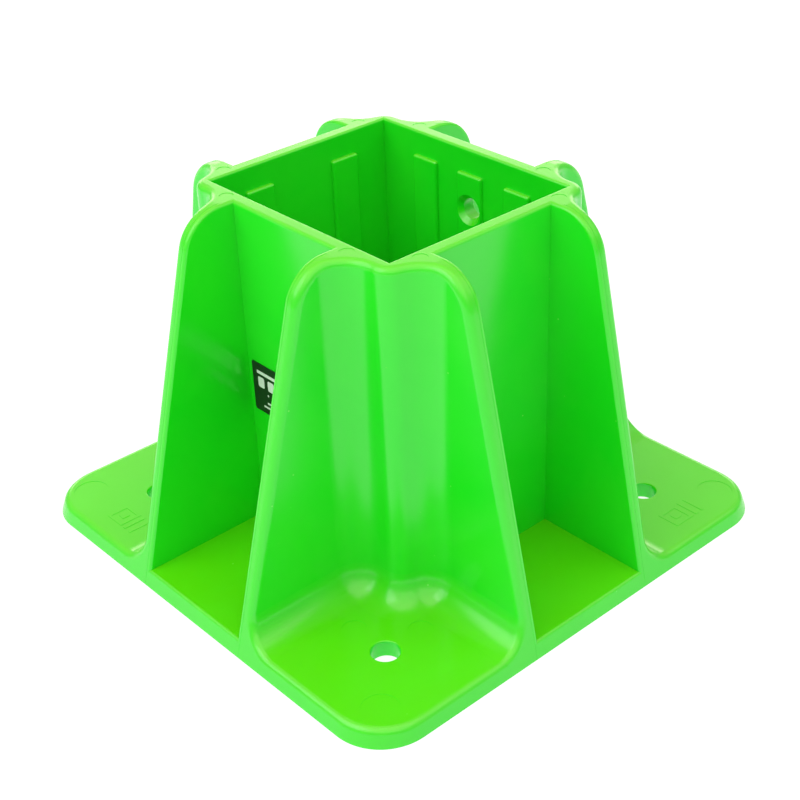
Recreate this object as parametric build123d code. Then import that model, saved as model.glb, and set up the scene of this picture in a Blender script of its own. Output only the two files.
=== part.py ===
from build123d import *
import math
import os

# Post base for the upright of a jump stand: one injection-moulded foot, with a label in one of
# its side pockets. The post drops into the rectangular socket, eight ribs brace the socket on
# the square plate, and four screws in the corner nooks fix the plate down.
# Origin: centre of the underside of the plate. +Z up. The plate's sides run along X and Y, and
# the longer clear side of the socket runs along X.
# The screw hole is in the wall that faces +Y, and the label is on the wall that faces -Y.

# ---------------------------------------------------------------- driving dimensions, mm
# base plate
PLATE_SIDE = 196.0           # each side, at the underside
PLATE_THICK = 6.5
PLATE_CORNER_R = 20.0        # plan radius of the corners

# post socket
SOCKET_X = 92.0              # clear length between bare walls
SOCKET_Y = 79.5              # clear width between bare walls
SOCKET_FLOOR = 6.5           # closed floor under the post
WALL = 5.4                   # thickness of the four walls
WALL_CORNER_R = 7.0          # outside radius of the wall corners
HEIGHT = 132.5               # underside to the top of the rim

# raised guide strips inside the socket, which centre the post
STRIP_WIDTH = 12.0
STRIP_DEPTH = 1.5
STRIP_DROP = 9.0             # rim down to the top of a strip
STRIP_EDGE_R = 0.9
STRIP_PITCH_LONG = 23.0      # three strips on each of the walls that face +Y and -Y
STRIP_PITCH_SHORT = 39.0     # two strips on each of the walls that face +X and -X

# hole for the screw that holds the post, through the middle strip of the wall that faces +Y
SCREW_HOLE_D = 8.0
SCREW_HOLE_DROP = 22.5       # rim down to the middle of the hole
SCREW_LEAD = 1.8             # depth and width of the lead-in on the socket side

# ribs, two on each wall
RIB = 5.8                    # rib thickness
POCKET_WIDTH = 51.5          # clear width between the two ribs of a wall
RIB_REACH = 17.3             # how far the ribs stand out from the wall at the rim
SHOULDER_R = 16.0            # rounding at the top of each rib

# corner nooks, where the fixing screws go
NOOK_R = 11.5                # hollow between rib and wall
NOOK_FLOOR_R = 11.0          # hollow between rib or wall and plate

# fixing holes
FIX_SPACING = 130.0          # square pattern, centre to centre
FIX_D = 10.0

# edge roundings
NOOK_EDGE_R = 2.6            # all round each nook, its stretch of the plate rim included
POCKET_EDGE_R = 1.2          # all round each pocket, its stretch of the plate rim included
RIM_EDGE_R = 0.9             # mouth of the socket
UNDER_EDGE_R = 0.4           # around the underside
HOLE_EDGE_R = 0.5

# witness marks of the mould
PIN_DEPTH = 0.12             # ejector pins leave shallow round prints
RIM_PIN_D = 5.0              # where each rib meets the rim
FLOOR_PIN_D = 8.7            # two on the floor of each nook
FLOOR_PIN_OFFSET = 15.7      # from the fixing hole
CORNER_PIN_D = 13.0          # one between each fixing hole and the corner of the plate
SEAM_WIDTH = 0.35            # parting line along the edge of each rib
SEAM_DEPTH = 0.06
SEAM_OFFSET = 1.8            # from the pocket side of the rib

# plain raised mark on two opposite corners of the plate: a frame, a square in it and two bars
MARK_HIGH = 0.12
MARK_LINE = 1.2
MARK_SIDE = 9.0
MARK_GAP = 2.2
MARK_SHIFT = 4.0             # middle of its frame from the fixing hole, along the side

# label in the pocket of the wall that faces -Y
LABEL_MARGIN = 2.25          # clear wall between the label and each rib
LABEL_Z = 19.6
LABEL_THICK = 0.3
LABEL_CORNER_R = 0.8
LABEL_CENTRE_Z = 63.4

# ---------------------------------------------------------------- values that follow
HALF = PLATE_SIDE / 2
WALL_OUT_X = SOCKET_X / 2 + WALL          # outer faces of the walls
WALL_OUT_Y = SOCKET_Y / 2 + WALL
RIB_IN = POCKET_WIDTH / 2                 # pocket-side face of each rib
RIB_OUT = RIB_IN + RIB                    # nook-side face of each rib
SCREW_HOLE_Z = HEIGHT - SCREW_HOLE_DROP
FIX = FIX_SPACING / 2                     # fixing holes from the axes
BEYOND_FIX = (FIX + FIX_D / 2 + HALF) / 2 # midway from a fixing hole to the side of the plate
LABEL_X = POCKET_WIDTH - 2 * LABEL_MARGIN
FAR = PLATE_SIDE + HEIGHT                 # past everything, for cutting tools
TINY = 0.001
NEAR = 0.01
ON_FLOOR = (Align.CENTER, Align.CENTER, Align.MIN)


# ---------------------------------------------------------------- outer form
def flank(top_half, inset):
    """Section of the outer form: up one sloping flank, over the shoulders and down the other."""
    foot, top, high = HALF - inset, top_half - inset, HEIGHT - inset
    section = make_face(Polyline((-foot, 0), (-top, high), (top, high), (foot, 0), close=True))
    return fillet(section.vertices().sort_by(Axis.Y)[-2:], SHOULDER_R)


def outer_form(inset=0.0):
    """The solid whose surface carries the rim of the plate and the edges of all the ribs."""
    across_x = extrude(Plane.XZ * flank(WALL_OUT_X + RIB_REACH, inset), FAR, both=True)
    across_y = extrude(Plane.YZ * flank(WALL_OUT_Y + RIB_REACH, inset), FAR, both=True)
    return across_x & across_y


# ---------------------------------------------------------------- what is cut from it
def hollow(wall_out, turn_out, turn_along):
    """Hollow between rib and wall, as (out, along) places seen from the wall.

    Returns how far out it leaves the rib, and where it meets the wall. On a wall too short for
    its whole radius it meets the rounding of the wall corner instead.
    """
    centre_along = RIB_OUT + NOOK_R
    if turn_along >= centre_along:
        return wall_out + NOOK_R, (wall_out, centre_along)
    both = NOOK_R + WALL_CORNER_R
    lean = centre_along - turn_along
    gap = math.sqrt(both**2 - lean**2)
    share = WALL_CORNER_R / both
    return turn_out + gap, (turn_out + gap * share, turn_along + lean * share)


def nook_plan():
    """Plan of the nook in the +X +Y corner: all that is outside the ribs and the wall corner."""
    turn_x = WALL_OUT_X - WALL_CORNER_R
    turn_y = WALL_OUT_Y - WALL_CORNER_R
    leave_x, meet_x = hollow(WALL_OUT_X, turn_x, turn_y)
    leave_y, (out_y, along_y) = hollow(WALL_OUT_Y, turn_y, turn_x)
    meet_y = (along_y, out_y)
    corner_x = (WALL_OUT_X, turn_y) if turn_y > meet_x[1] else meet_x
    corner_y = (turn_x, WALL_OUT_Y) if turn_x > meet_y[0] else meet_y

    path = [Line((FAR, RIB_OUT), (leave_x, RIB_OUT))]
    path.append(TangentArc((leave_x, RIB_OUT), meet_x, tangent=path[-1] % 1))
    if corner_x != meet_x:
        path.append(Line(meet_x, corner_x))
    path.append(TangentArc(corner_x, corner_y, tangent=path[-1] % 1))
    if corner_y != meet_y:
        path.append(Line(corner_y, meet_y))
    path.append(TangentArc(meet_y, (RIB_OUT, leave_y), tangent=path[-1] % 1))
    path.append(Polyline((RIB_OUT, leave_y), (RIB_OUT, FAR), (FAR, FAR), (FAR, RIB_OUT)))
    return make_face(path)


def nook_tool():
    """What is cut away in one corner, with the hollows along its floor."""
    tool = extrude(Pos(0, 0, PLATE_THICK) * nook_plan(), FAR)
    floor_edges = tool.edges().group_by(Axis.Z)[0]
    inner = [e for e in floor_edges if min(e.center().X, e.center().Y) < FAR / 2]
    return fillet(inner, NOOK_FLOOR_R)


def four_corners(tool):
    """A tool for the +X +Y corner, and its mirror images in the other three."""
    pair = [tool, mirror(tool, Plane.YZ)]
    return pair + [mirror(one, Plane.XZ) for one in pair]


def pocket_tools():
    """The four square-cornered pockets between the ribs of each wall."""
    tools = []
    for turn, wall_out in ((0, WALL_OUT_X), (90, WALL_OUT_Y), (180, WALL_OUT_X), (270, WALL_OUT_Y)):
        block = Box(FAR, POCKET_WIDTH, FAR, align=(Align.MIN, Align.CENTER, Align.MIN))
        tools.append(Rot(0, 0, turn) * Pos(wall_out, 0, PLATE_THICK) * block)
    return tools


def rounded_strip(along_x, along_y, tall):
    """A strip as it stands on the socket floor, with its upright and top edges rounded."""
    strip = Box(along_x, along_y, tall, align=ON_FLOOR)
    return fillet(strip.edges().filter_by(Axis.Z) + strip.faces().sort_by(Axis.Z)[-1].edges(), STRIP_EDGE_R)


def socket_tool():
    """The space for the post, with the guide strips left standing on its walls."""
    space = Pos(0, 0, SOCKET_FLOOR) * Box(SOCKET_X, SOCKET_Y, FAR, align=ON_FLOOR)
    tall = HEIGHT - STRIP_DROP - SOCKET_FLOOR
    on_long = rounded_strip(STRIP_WIDTH, 2 * STRIP_DEPTH, tall)
    on_short = rounded_strip(2 * STRIP_DEPTH, STRIP_WIDTH, tall)
    for side in (-1, 1):
        for step in (-1, 0, 1):
            space -= Pos(step * STRIP_PITCH_LONG, side * SOCKET_Y / 2, SOCKET_FLOOR) * on_long
        for step in (-0.5, 0.5):
            space -= Pos(side * SOCKET_X / 2, step * STRIP_PITCH_SHORT, SOCKET_FLOOR) * on_short
    return space


# ---------------------------------------------------------------- edges to round
def middle(edge):
    return edge.position_at(0.5)


def round_plate_corners(body):
    """Round the four short upright edges at the corners of the plate."""
    far_out = HALF - PLATE_THICK
    upright = [e for e in body.edges() if min(abs(middle(e).X), abs(middle(e).Y)) > far_out]
    return fillet([e for e in upright if NEAR < middle(e).Z < PLATE_THICK - NEAR], PLATE_CORNER_R)


def on_outside(edge, form_faces):
    """True for an edge on the outer form or along the rounded corners of the plate rim."""
    m = middle(edge)
    on_form = min(Vertex(*m).distance_to(face) for face in form_faces) < NEAR
    on_rim = abs(m.Z - PLATE_THICK) < TINY and max(abs(m.X), abs(m.Y)) > HALF - PLATE_CORNER_R / 2
    return on_form or on_rim


def round_nooks(body, form_faces):
    """Round the one continuous edge around each nook."""
    edges = []
    for e in body.edges():
        m = middle(e)
        in_nook = min(abs(m.X), abs(m.Y)) > RIB_OUT - TINY and m.Z > PLATE_THICK - TINY
        if in_nook and on_outside(e, form_faces):
            edges.append(e)
    return fillet(edges, NOOK_EDGE_R)


def round_pockets(body, form_faces):
    """Round the edges around each pocket: two ribs, the rim of the wall and the plate rim."""
    edges = []
    for e in body.edges():
        m = middle(e)
        near, out = sorted((abs(m.X), abs(m.Y)))
        on_rib = abs(near - RIB_IN) < TINY
        on_wall = min(abs(abs(m.X) - WALL_OUT_X), abs(abs(m.Y) - WALL_OUT_Y)) < TINY
        across = near < TINY and (on_wall or out > HALF - PLATE_THICK)
        if (on_rib or across) and m.Z > PLATE_THICK - TINY and on_outside(e, form_faces):
            edges.append(e)
    return fillet(edges, POCKET_EDGE_R)


def round_rim(body):
    """Round the mouth of the socket."""
    edges = []
    for e in body.edges():
        m = middle(e)
        inside = abs(m.X) < SOCKET_X / 2 + TINY and abs(m.Y) < SOCKET_Y / 2 + TINY
        if inside and abs(m.Z - HEIGHT) < TINY:
            edges.append(e)
    return fillet(edges, RIM_EDGE_R)


def round_underside(body):
    return fillet([e for e in body.edges() if abs(middle(e).Z) < TINY], UNDER_EDGE_R)


# ---------------------------------------------------------------- holes and small marks
def cut_fixing_holes(body):
    """Four screw holes, each in the floor of a nook, rounded at both ends."""
    for hole in four_corners(Pos(FIX, FIX, 0) * Cylinder(FIX_D / 2, FAR)):
        body -= hole
    mouths = [e for e in body.edges().filter_by(GeomType.CIRCLE) if abs(e.radius - FIX_D / 2) < TINY]
    return fillet([e for e in mouths if abs(abs(e.arc_center.X) - FIX) < TINY], HOLE_EDGE_R)


def cut_screw_hole(body):
    """The hole for the post's screw, with a wide lead-in on the socket side."""
    reach = WALL_OUT_Y + WALL
    along = Rot(90, 0, 0)
    body -= Pos(0, reach / 2, SCREW_HOLE_Z) * along * Cylinder(SCREW_HOLE_D / 2, reach)
    wide = SCREW_HOLE_D / 2 + 2 * SCREW_LEAD
    lead_in = along * Cone(SCREW_HOLE_D / 2, wide, 2 * SCREW_LEAD)
    body -= Pos(0, SOCKET_Y / 2 - STRIP_DEPTH, SCREW_HOLE_Z) * lead_in
    mouths = [
        e for e in body.edges().filter_by(GeomType.CIRCLE)
        if abs(e.radius - SCREW_HOLE_D / 2) < TINY and abs(e.arc_center.Z - SCREW_HOLE_Z) < TINY
    ]
    return fillet(max(mouths, key=lambda e: e.arc_center.Y), HOLE_EDGE_R)


def press_pin_marks(body):
    """The round prints of the ejector pins, on the rim and on the floors of the nooks."""
    on_rim = Pos(0, 0, HEIGHT) * Cylinder(RIM_PIN_D / 2, 2 * PIN_DEPTH)
    small = Pos(0, 0, PLATE_THICK) * Cylinder(FLOOR_PIN_D / 2, 2 * PIN_DEPTH)
    large = Pos(0, 0, PLATE_THICK) * Cylinder(CORNER_PIN_D / 2, 2 * PIN_DEPTH)
    inset = RIM_PIN_D / 4
    marks = [
        Pos(WALL_OUT_X - inset, RIB_OUT - inset / 2, 0) * on_rim,
        Pos(RIB_OUT - inset / 2, WALL_OUT_Y - inset, 0) * on_rim,
        Pos(FIX - FLOOR_PIN_OFFSET, FIX, 0) * small,
        Pos(FIX, FIX - FLOOR_PIN_OFFSET, 0) * small,
        Pos(BEYOND_FIX, BEYOND_FIX, 0) * large,
    ]
    for mark in marks:
        for one in four_corners(mark):
            body -= one
    return body


def score_seams(body):
    """The parting line of the mould: a fine groove down the edge of each rib."""
    skin = outer_form() - outer_form(SEAM_DEPTH)
    for turn, wall_out in ((0, WALL_OUT_X), (90, WALL_OUT_Y), (180, WALL_OUT_X), (270, WALL_OUT_Y)):
        for side in (-1, 1):
            slab = Box(FAR, SEAM_WIDTH, FAR, align=(Align.MIN, Align.CENTER, Align.CENTER))
            slab = Pos(wall_out + SHOULDER_R / 4, side * (RIB_IN + SEAM_OFFSET), 0) * slab
            body -= skin & (Rot(0, 0, turn) * slab)
    return body


def raised_mark():
    """The plain mark, lying on the plate with its length along X."""
    frame = Box(MARK_SIDE, MARK_SIDE, 2 * MARK_HIGH)
    frame -= Box(MARK_SIDE - 2 * MARK_LINE, MARK_SIDE - 2 * MARK_LINE, FAR)
    mark = frame + Box(MARK_SIDE / 3, MARK_SIDE / 3, 2 * MARK_HIGH)
    for step in (0, 1):
        out = MARK_SIDE / 2 + MARK_GAP + step * (MARK_LINE + MARK_GAP)
        mark += Pos(out, 0, 0) * Box(MARK_LINE, MARK_SIDE, 2 * MARK_HIGH)
    return mark


def add_marks(body):
    """The raised mark on two opposite corners of the plate."""
    mark = raised_mark()
    along = FIX - MARK_SHIFT
    body += Pos(-along, -BEYOND_FIX, PLATE_THICK) * mark
    return body + Pos(BEYOND_FIX, along, PLATE_THICK) * Rot(0, 0, 90) * mark


# ---------------------------------------------------------------- the two pieces
def moulded_base():
    form = outer_form()
    body = form - socket_tool()
    for tool in four_corners(nook_tool()) + pocket_tools():
        body -= tool
    form_faces = form.faces()
    body = round_plate_corners(body)
    body = round_nooks(body, form_faces)
    body = round_pockets(body, form_faces)
    body = round_rim(body)
    body = round_underside(body)
    body = cut_fixing_holes(body)
    body = cut_screw_hole(body)
    body = press_pin_marks(body)
    body = score_seams(body)
    return add_marks(body)


def label():
    """The adhesive label, flat against the wall that faces -Y, between the two ribs."""
    outline = RectangleRounded(LABEL_X, LABEL_Z, LABEL_CORNER_R)
    return extrude(Plane.XZ.offset(WALL_OUT_Y) * Pos(0, LABEL_CENTRE_Z) * outline, LABEL_THICK)


os.makedirs("parts", exist_ok=True)
for name, shape in (("moulded_base", moulded_base()), ("label", label())):
    box = shape.bounding_box()
    print(name, len(shape.solids()), shape.is_valid, round(shape.volume), box.min, box.max)
    export_step(shape, f"parts/{name}.step")
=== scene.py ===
# %% [markdown]
# A moulded post base: a lesson in finishing a CAD model in Blender
#
# The object is the foot of a jump stand or fence post. It is one injection moulding in bright
# green polypropylene: a square plate, a rectangular socket and eight ribs. A black label is
# stuck in one of the pockets between the ribs.
# The moulding and the label film come from CAD with their true sizes. Blender adds what CAD
# leaves out: the ink on the label, the look of each material, the light and the camera.

# %% Load the CAD model
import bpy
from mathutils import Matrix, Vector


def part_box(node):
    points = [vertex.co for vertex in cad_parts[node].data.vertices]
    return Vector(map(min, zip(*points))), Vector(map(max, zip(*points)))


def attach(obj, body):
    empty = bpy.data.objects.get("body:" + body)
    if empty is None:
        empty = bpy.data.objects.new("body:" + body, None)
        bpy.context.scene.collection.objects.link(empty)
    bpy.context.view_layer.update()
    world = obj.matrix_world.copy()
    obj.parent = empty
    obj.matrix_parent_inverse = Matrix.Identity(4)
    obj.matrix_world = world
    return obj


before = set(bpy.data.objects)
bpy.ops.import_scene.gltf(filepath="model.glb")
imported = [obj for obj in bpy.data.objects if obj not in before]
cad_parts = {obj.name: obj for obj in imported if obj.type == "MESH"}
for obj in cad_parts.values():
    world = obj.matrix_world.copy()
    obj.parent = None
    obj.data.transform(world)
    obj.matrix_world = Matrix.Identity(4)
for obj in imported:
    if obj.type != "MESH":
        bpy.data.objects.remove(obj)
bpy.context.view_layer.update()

import math

import bpy
from mathutils import Matrix, Vector

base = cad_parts["moulded_base"]
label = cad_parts["label"]
for name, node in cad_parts.items():
    low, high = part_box(name)
    size_mm = [round((b - a) * 1000, 1) for a, b in zip(low, high)]
    print(name, "size in mm", size_mm, "faces", len(node.data.polygons))

# %% [markdown]
# The camera
#
# The base is seen corner on, from a little above the height of the rim, with a longer lens.
# A long lens keeps upright edges nearly parallel, which suits a product picture. The camera is
# placed by two angles and a distance around a point near the middle of the base, because those
# are easy to change one at a time. The small roll is a tripod that stands not quite level.

# %% Camera
AZIMUTH, ELEVATION, ROLL = (math.radians(a) for a in (48.97, 31.27, 2.3))
DISTANCE = 0.5439
TARGET = Vector((0.0011, 0.0013, 0.0468))


def direction(azimuth, elevation):
    """Unit vector away from the object; azimuth 0 is along -Y and turns towards +X."""
    flat = math.cos(elevation)
    return Vector((math.sin(azimuth) * flat, -math.cos(azimuth) * flat, math.sin(elevation)))


outward = direction(AZIMUTH, ELEVATION)
camera_data = bpy.data.cameras.new("camera")
camera_data.sensor_width = 36
camera_data.lens = 66.77
camera_data.clip_start = 0.01
camera = bpy.data.objects.new("camera", camera_data)
camera.location = TARGET + outward * DISTANCE
facing = (-outward).to_track_quat("-Z", "Y").to_matrix()
camera.rotation_euler = (facing @ Matrix.Rotation(-ROLL, 3, "Z")).to_euler()
bpy.context.scene.collection.objects.link(camera)
bpy.context.scene.camera = camera
print("camera at", [round(v, 3) for v in camera.location])

# %% [markdown]
# How colours reach the screen
#
# Blender's usual AgX view softens bright colours towards pastel. That suits a sunlit scene, but
# it takes the strength out of a vivid plastic. The Standard view shows the colour that the
# material has, so this scene uses it, and the lights are kept low enough not to burn out.

# %% View transform
bpy.context.scene.view_settings.view_transform = "Standard"
print("view transform:", bpy.context.scene.view_settings.view_transform)

# %% [markdown]
# Two small helpers for materials
#
# Colours are picked as sRGB hex values, the way a paint chart or a web page gives them, but
# shaders add up light, so they need linear values. One function turns the one into the other.
# Another adds a node with its settings and links in one line, which keeps each material short
# enough to read as a recipe.

# %% Material helpers
def linear(hex_colour):
    """Linear RGBA from an sRGB value such as "#58db0e"."""
    parts = [int(hex_colour[i:i + 2], 16) / 255 for i in (1, 3, 5)]
    return [p / 12.92 if p <= 0.04045 else ((p + 0.055) / 1.055) ** 2.4 for p in parts] + [1.0]


def add_node(tree, kind, inputs=None, **settings):
    """Add a node. An input that is given a socket is linked to it, and else set to the value."""
    node = tree.nodes.new(kind)
    for name, value in settings.items():
        setattr(node, name, value)
    for name, value in (inputs or {}).items():
        if isinstance(value, bpy.types.NodeSocket):
            tree.links.new(value, node.inputs[name])
        else:
            node.inputs[name].default_value = value
    return node


MM = 0.001
print("leaf green in linear light:", [round(v, 3) for v in linear("#58db0e")[:3]])

# %% [markdown]
# Green polypropylene
#
# Polypropylene is a slightly milky plastic with an IOR of about 1.49. In a polished steel tool
# it comes out glossy, so pale things near it show as soft-edged streaks in its hollows. The
# pigment is strong, and light that goes a millimetre or so into an edge comes out again, which
# makes thin edges glow a little. That is a small share of subsurface scattering. The specular
# level is raised by half, so that the streaks read as clearly as they do on a new part.
#
# A real moulding isn't perfect. Hot plastic leaves faint clouds of colour where it flowed, thick
# places sink by a few hundredths of a millimetre so that long reflections wander, and the skin
# has a fine orange peel. A new part also carries a little dust and a few rubbed places.
# Each of these is a noise whose scale is one over its real size, and the small ones are drawn as
# coarse as they have to be to show at this distance.
#
# Where the plastic lies level it looks a yellower green than where it stands upright, because of
# the light that falls on it from above and the light it lets through over a white surface. True
# translucency is slow to trace and noisy, so this light is painted into the colour instead: two
# greens are mixed by how level the face is, a painted yellow light on level faces and a painted
# cooler shade on upright ones.
#
# The roughness of the clean skin stays below 0.27 everywhere. Cycles shows its denoiser smoother
# plastic as a mirror and rougher plastic as a matt surface, and faint lines appear where the one
# turns into the other.

# %% Polypropylene: colour
plastic = bpy.data.materials.new("polypropylene_gloss_moulded_green")
plastic.use_nodes = True
tree = plastic.node_tree
tree.nodes.clear()
coordinates = add_node(tree, "ShaderNodeTexCoord")
place = coordinates.outputs["Object"]
level = add_node(tree, "ShaderNodeSeparateXYZ", {
    "Vector": coordinates.outputs["Normal"]}).outputs["Z"]
# Painted light: level faces get a yellower green and upright faces a cooler green, by the
# direction of the face.
pigment_and_painted_light = add_node(tree, "ShaderNodeMix", {
    0: level, 6: linear("#1ada1c"), 7: linear("#56cf08")}, data_type="RGBA")

FLOW_SIZE = 55 * MM
flow = add_node(tree, "ShaderNodeTexNoise", {
    "Vector": place, "Scale": 1 / FLOW_SIZE, "Detail": 3.0, "Roughness": 0.55, "Distortion": 0.8})
cloud_mask = add_node(tree, "ShaderNodeMapRange", {
    "Value": flow.outputs["Fac"], "From Min": 0.35, "From Max": 0.75, "To Max": 0.16})
clouds = add_node(tree, "ShaderNodeMix", {
    0: cloud_mask.outputs["Result"], 6: pigment_and_painted_light.outputs[2], 7: linear("#52f02e")},
    data_type="RGBA")

SPECK_GAP = 11 * MM
specks = add_node(tree, "ShaderNodeTexVoronoi", {"Vector": place, "Scale": 1 / SPECK_GAP})
speck_mask = add_node(tree, "ShaderNodeMapRange", {
    "Value": specks.outputs["Distance"], "From Min": 0.015, "From Max": 0.035,
    "To Min": 0.5, "To Max": 0.0})
specked = add_node(tree, "ShaderNodeMix", {
    0: speck_mask.outputs["Result"], 6: clouds.outputs[2], 7: linear("#8ee86a")},
    data_type="RGBA")
print("flow clouds", FLOW_SIZE / MM, "mm, one speck about every", SPECK_GAP / MM, "mm")

# %% [markdown]
# Rubs are short straight streaks, so their noise is stretched along one direction by a Mapping
# node before it is cut down to its highest peaks. They lighten the colour a little and dull the
# gloss, because a rub is many tiny scratches.

# %% Polypropylene: rubs and gloss
RUB_LONG, RUB_WIDE = 40 * MM, 1.2 * MM
along = add_node(tree, "ShaderNodeMapping", {
    "Vector": place, "Rotation": (0.3, 0.5, 0.9),
    "Scale": (1 / RUB_LONG, 1 / RUB_WIDE, 1 / RUB_WIDE)})
streaks = add_node(tree, "ShaderNodeTexNoise", {
    "Vector": along.outputs["Vector"], "Scale": 1.0, "Detail": 2.0})
rub_mask = add_node(tree, "ShaderNodeMapRange", {
    "Value": streaks.outputs["Fac"], "From Min": 0.76, "From Max": 0.9})
rubbed = add_node(tree, "ShaderNodeMix", {
    0: rub_mask.outputs["Result"], 6: specked.outputs[2], 7: linear("#55e426")},
    data_type="RGBA")
haze = add_node(tree, "ShaderNodeMapRange", {
    "Value": flow.outputs["Fac"], "From Min": 0.3, "From Max": 0.7,
    "To Min": 0.19, "To Max": 0.25})
RUB_DULLS = 0.12
dulled = add_node(tree, "ShaderNodeMath", {
    0: rub_mask.outputs["Result"], 1: RUB_DULLS, 2: haze.outputs["Result"]},
    operation="MULTIPLY_ADD")
print("rubs", RUB_LONG / MM, "mm long and", round(RUB_WIDE / MM, 1), "mm wide")

# %% Polypropylene: surface relief
SINK_SIZE, SINK_DEPTH = 30 * MM, 0.12 * MM
PEEL_SIZE, PEEL_DEPTH = 1.6 * MM, 0.004 * MM
sink = add_node(tree, "ShaderNodeTexNoise", {
    "Vector": place, "Scale": 1 / SINK_SIZE, "Detail": 1.0})
peel = add_node(tree, "ShaderNodeTexNoise", {
    "Vector": place, "Scale": 1 / PEEL_SIZE, "Detail": 2.0})
sunk = add_node(tree, "ShaderNodeBump", {
    "Height": sink.outputs["Fac"], "Strength": 1.0, "Distance": SINK_DEPTH})
relief = add_node(tree, "ShaderNodeBump", {
    "Height": peel.outputs["Fac"], "Strength": 1.0, "Distance": PEEL_DEPTH,
    "Normal": sunk.outputs["Normal"]})
skin = add_node(tree, "ShaderNodeBsdfPrincipled", {
    "Base Color": rubbed.outputs[2], "Roughness": dulled.outputs["Value"],
    "IOR": 1.49, "Specular IOR Level": 0.75, "Normal": relief.outputs["Normal"],
    "Subsurface Weight": 0.3, "Subsurface Radius": (0.7, 1.0, 0.3),
    "Subsurface Scale": 1.6 * MM})
add_node(tree, "ShaderNodeOutputMaterial", {"Surface": skin.outputs["BSDF"]})
base.data.materials.clear()
base.data.materials.append(plastic)
print(plastic.name, "has", len(tree.nodes), "nodes")

# %% [markdown]
# Label film
#
# The label is printed vinyl: a black film with a satin laminate over it. Vinyl has an IOR of
# about 1.54. Black film is never quite black, because its surface sends back some of the room,
# and here mostly the green of the pocket around it. That green reflection is painted into the
# film's colour: its black is tinted green, and a slow wave makes it a little lighter and darker.
# The laminate has a very fine grain, and the film isn't perfectly flat over the moulding, so the
# slow wave goes into the relief as well.

# %% Label film material
film = bpy.data.materials.new("vinyl_film_satin_black")
film.use_nodes = True
tree = film.node_tree
tree.nodes.clear()
place = add_node(tree, "ShaderNodeTexCoord").outputs["Object"]
GRAIN_SIZE, WAVE_SIZE = 0.5 * MM, 9 * MM
grain = add_node(tree, "ShaderNodeTexNoise", {
    "Vector": place, "Scale": 1 / GRAIN_SIZE, "Detail": 2.0})
wave = add_node(tree, "ShaderNodeTexNoise", {
    "Vector": place, "Scale": 1 / WAVE_SIZE, "Detail": 1.0})
# Painted reflection: the black is tinted with the green of the pocket, lighter and darker along a
# slow wave.
tone_with_painted_reflection = add_node(tree, "ShaderNodeMix", {
    0: wave.outputs["Fac"], 6: linear("#0c1410"), 7: linear("#131c16")}, data_type="RGBA")
satin = add_node(tree, "ShaderNodeMapRange", {
    "Value": grain.outputs["Fac"], "To Min": 0.3, "To Max": 0.42})
waved = add_node(tree, "ShaderNodeBump", {
    "Height": wave.outputs["Fac"], "Strength": 1.0, "Distance": 0.05 * MM})
grained = add_node(tree, "ShaderNodeBump", {
    "Height": grain.outputs["Fac"], "Strength": 1.0, "Distance": 0.004 * MM,
    "Normal": waved.outputs["Normal"]})
film_skin = add_node(tree, "ShaderNodeBsdfPrincipled", {
    "Base Color": tone_with_painted_reflection.outputs[2], "Roughness": satin.outputs["Result"], "IOR": 1.54,
    "Normal": grained.outputs["Normal"]})
add_node(tree, "ShaderNodeOutputMaterial", {"Surface": film_skin.outputs["BSDF"]})
label.data.materials.clear()
label.data.materials.append(film)
print(film.name, "has", len(tree.nodes), "nodes")

# %% [markdown]
# Label ink
#
# The print is white screen ink. It could be painted in the film's material, but then its edges
# would be only as sharp as a mask allows. Ink has a real thickness of a few hundredths of a
# millimetre, so each patch is a thin solid that lies on the film. Screen ink covers a little
# unevenly, and that is what the noise in its colour is for.
# The design is plain: a rule, a row of blocks, a row of dots and two bars.

# %% Ink material
ink = bpy.data.materials.new("screen_ink_white")
ink.use_nodes = True
tree = ink.node_tree
tree.nodes.clear()
place = add_node(tree, "ShaderNodeTexCoord").outputs["Object"]
MOTTLE_SIZE = 1.2 * MM
mottle = add_node(tree, "ShaderNodeTexNoise", {
    "Vector": place, "Scale": 1 / MOTTLE_SIZE, "Detail": 3.0})
cover = add_node(tree, "ShaderNodeMix", {
    0: mottle.outputs["Fac"], 6: linear("#c9d2cd"), 7: linear("#eef2f0")}, data_type="RGBA")
chalk = add_node(tree, "ShaderNodeMapRange", {
    "Value": mottle.outputs["Fac"], "To Min": 0.4, "To Max": 0.55})
ink_skin = add_node(tree, "ShaderNodeBsdfPrincipled", {
    "Base Color": cover.outputs[2], "Roughness": chalk.outputs["Result"], "IOR": 1.5})
add_node(tree, "ShaderNodeOutputMaterial", {"Surface": ink_skin.outputs["BSDF"]})
print(ink.name, "has", len(tree.nodes), "nodes")

# %% [markdown]
# A patch of ink starts as a flat sheet at its place and size, facing the way the label faces.
# Its corners are rounded by a bevel of the vertices, and an extrude gives it thickness. The
# sheet is stood up as it is added, and its scale is applied at once, so the bevel is round.

# %% Patch of ink
low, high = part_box("label")
FACE_Y = low[1]
LABEL_LEFT, LABEL_TOP = low[0], high[2]
INK = 0.04 * MM


def thicken(patch):
    """Give a flat patch the thickness of the ink, outwards from the label."""
    bpy.ops.object.mode_set(mode="EDIT")
    bpy.ops.mesh.select_all(action="SELECT")
    bpy.ops.mesh.extrude_region_move(TRANSFORM_OT_translate={"value": (0, -INK, 0)})
    bpy.ops.mesh.select_all(action="SELECT")
    bpy.ops.mesh.normals_make_consistent(inside=False)
    bpy.ops.object.mode_set(mode="OBJECT")
    patch.data.materials.append(ink)
    return patch


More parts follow.
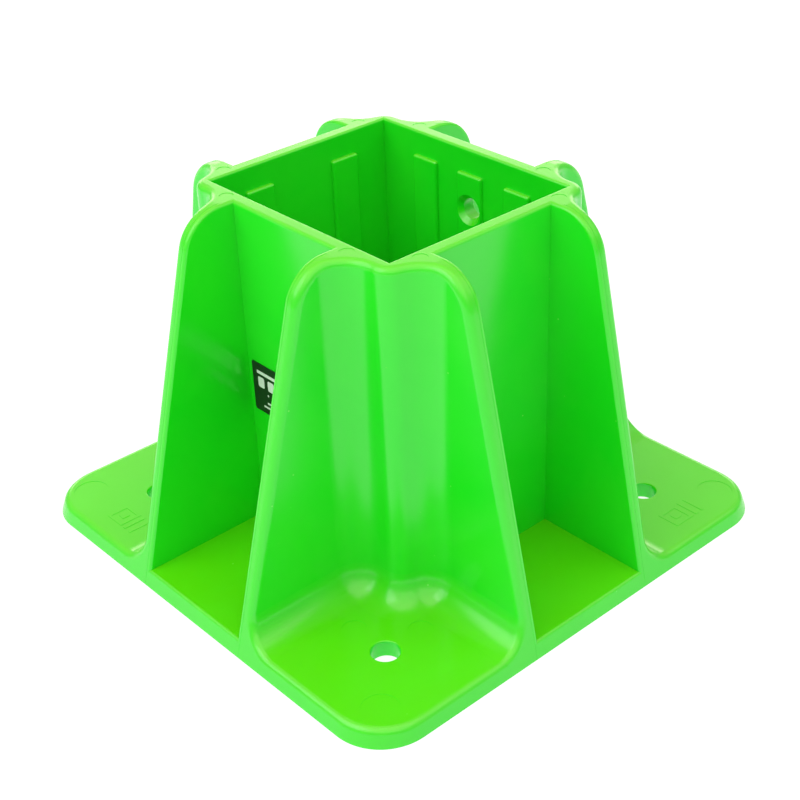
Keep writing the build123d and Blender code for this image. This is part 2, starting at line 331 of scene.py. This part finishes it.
def ink_patch(name, left, top, width, height, corner):
    """A rounded patch; left and top are measured in from the label's own corner."""
    bpy.ops.object.select_all(action="DESELECT")
    middle = (LABEL_LEFT + left + width / 2, FACE_Y, LABEL_TOP - top - height / 2)
    bpy.ops.mesh.primitive_plane_add(size=1, location=middle, rotation=(math.pi / 2, 0, 0))
    patch = bpy.context.object
    patch.name = name
    patch.scale = (width, height, 1)
    bpy.ops.object.transform_apply(location=True, rotation=True, scale=True)
    bpy.ops.object.mode_set(mode="EDIT")
    bpy.ops.mesh.select_all(action="SELECT")
    bpy.ops.mesh.bevel(offset=corner, segments=4, affect="VERTICES")
    bpy.ops.object.mode_set(mode="OBJECT")
    return thicken(patch)


def joined(name, patches):
    """Join patches into one piece, which rides with the moulding."""
    bpy.ops.object.select_all(action="DESELECT")
    for patch in patches:
        patch.select_set(True)
    bpy.context.view_layer.objects.active = patches[0]
    bpy.ops.object.join()
    piece = bpy.context.object
    piece.name = name
    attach(piece, "root")
    print(name, "from", len(patches), "patches,", len(piece.data.polygons), "faces")
    return piece


rule = ink_patch("rule", 2.6 * MM, 2.9 * MM, 41.8 * MM, 1.25 * MM, 0.25 * MM)
joined("label_rule", [rule])

# %% [markdown]
# The row of blocks is one block, copied along the label. A copy gets its own mesh, so that each
# can be joined, and it is moved by the same step every time, as fence posts are set out.

# %% Row of blocks
def repeated(first, count, step):
    """The first patch and its copies, each one step further along X."""
    row = [first]
    for _ in range(count - 1):
        bpy.ops.object.select_all(action="DESELECT")
        row[-1].select_set(True)
        bpy.context.view_layer.objects.active = row[-1]
        bpy.ops.object.duplicate(linked=False)
        bpy.ops.transform.translate(value=(step, 0, 0))
        bpy.ops.object.transform_apply(location=True, rotation=False, scale=False)
        row.append(bpy.context.object)
    return row


block = ink_patch("block", 3.0 * MM, 5.3 * MM, 3.4 * MM, 4.2 * MM, 0.7 * MM)
joined("label_blocks", repeated(block, 8, 5.37 * MM))

# %% [markdown]
# The dots start as a filled circle of 16 sides, which is enough for something under a
# millimetre across, and get their thickness in the same way.

# %% Dots and bars
DOT_R = 0.42 * MM
bpy.ops.object.select_all(action="DESELECT")
dot_place = (LABEL_LEFT + 8.2 * MM, FACE_Y, LABEL_TOP - 11.6 * MM)
bpy.ops.mesh.primitive_circle_add(
    vertices=16, radius=DOT_R, fill_type="NGON", location=dot_place, rotation=(math.pi / 2, 0, 0))
dot = bpy.context.object
bpy.ops.object.transform_apply(location=True, rotation=True, scale=True)
joined("label_dots", repeated(thicken(dot), 11, 3.0 * MM))

long_bar = ink_patch("long_bar", 5.2 * MM, 16.4 * MM, 23.0 * MM, 0.75 * MM, 0.2 * MM)
short_bar = ink_patch("short_bar", 7.4 * MM, 14.5 * MM, 15.0 * MM, 0.75 * MM, 0.2 * MM)
joined("label_bars", [long_bar, short_bar])

# %% [markdown]
# Floor and light
#
# A product like this is usually stood on a light table: an opal sheet with lamps under it. Most
# of its white is its own light, so it looks the same in the open and under the ribs, and the
# object throws next to no shadow. The polished hollows of the moulding reflect it as pale
# streaks.
# The room is a soft gradient, from a warm bright ceiling down to cooler and dimmer walls. The
# ceiling is what lights the inside of the socket, where no lamp reaches.

# %% Floor
bpy.ops.object.select_all(action="DESELECT")
FLOOR_SIDE = 30
bpy.ops.mesh.primitive_plane_add(size=FLOOR_SIDE, location=(0, 0, 0))
floor = bpy.context.object
floor.name = "floor"
acrylic = bpy.data.materials.new("acrylic_sheet_matt_white_lit")
acrylic.use_nodes = True
tree = acrylic.node_tree
tree.nodes.clear()
place = add_node(tree, "ShaderNodeTexCoord").outputs["Object"]
FROST_SIZE = 0.8 * MM
frost = add_node(tree, "ShaderNodeTexNoise", {
    "Vector": place, "Scale": 1 / FROST_SIZE, "Detail": 2.0})
shade = add_node(tree, "ShaderNodeMix", {
    0: frost.outputs["Fac"], 6: linear("#8a8a8a"), 7: linear("#8e8e8e")}, data_type="RGBA")
matt = add_node(tree, "ShaderNodeBsdfPrincipled", {
    "Base Color": shade.outputs[2], "Roughness": 0.9, "Specular IOR Level": 0.1,
    "Emission Color": linear("#ffffff"), "Emission Strength": 0.85})
add_node(tree, "ShaderNodeOutputMaterial", {"Surface": matt.outputs["BSDF"]})
floor.data.materials.append(acrylic)
print("floor", FLOOR_SIDE, "m wide, shines with",
      round(matt.inputs["Emission Strength"].default_value, 2))

# %% Room
room = bpy.data.worlds.new("room")
bpy.context.scene.world = room
room.use_nodes = True
tree = room.node_tree
tree.nodes.clear()
way = add_node(tree, "ShaderNodeTexCoord").outputs["Generated"]
height = add_node(tree, "ShaderNodeSeparateXYZ", {"Vector": way}).outputs["Z"]
air = add_node(tree, "ShaderNodeMix", {
    0: height, 6: linear("#e4f4f8"), 7: linear("#fff4dc")}, data_type="RGBA")
power = add_node(tree, "ShaderNodeMapRange", {"Value": height, "To Min": 0.4, "To Max": 1.15})
glow = add_node(tree, "ShaderNodeBackground", {
    "Color": air.outputs[2], "Strength": power.outputs["Result"]})
add_node(tree, "ShaderNodeOutputWorld", {"Surface": glow.outputs["Background"]})
print("room has", len(tree.nodes), "nodes")

# %% [markdown]
# Softboxes
#
# A large softbox on the side of the labelled pocket is the main light. It brightens the faces
# that look that way. The widest one hangs in front and overhead, and its reflection lies along
# the fillets where the ribs meet the plate. Bigger and dimmer boxes make softer highlights than
# small bright ones. A weak one fills the other side.
# The last stands low at the back and gives the rim its pale sheen, because a level surface seen
# from the front reflects what stands behind it.

# %% Softboxes
def softbox(name, azimuth, elevation, distance, width, height, power, colour):
    """A rectangular softbox that faces the base; angles in degrees, sizes in metres."""
    data = bpy.data.lights.new(name, "AREA")
    data.shape = "RECTANGLE"
    data.size, data.size_y, data.energy = width, height, power
    data.color = linear(colour)[:3]
    box = bpy.data.objects.new(name, data)
    toward = direction(math.radians(azimuth), math.radians(elevation))
    box.location = TARGET + toward * distance
    box.rotation_euler = (-toward).to_track_quat("-Z", "Y").to_euler()
    box.visible_camera = False
    bpy.context.scene.collection.objects.link(box)
    print(name, "radiance", round(power / (math.pi * width * height), 2))


softbox("main_softbox", -20, 40, 1.3, 1.1, 1.0, 6.0, "#f8ffff")
softbox("front_softbox", 49, 62, 1.4, 2.1, 1.9, 10.5, "#fff8e8")
softbox("side_softbox", 140, 40, 1.4, 0.9, 0.7, 1.2, "#fff8e8")
softbox("back_softbox", 229, 16, 1.4, 1.7, 0.45, 6.0, "#fff8e0")
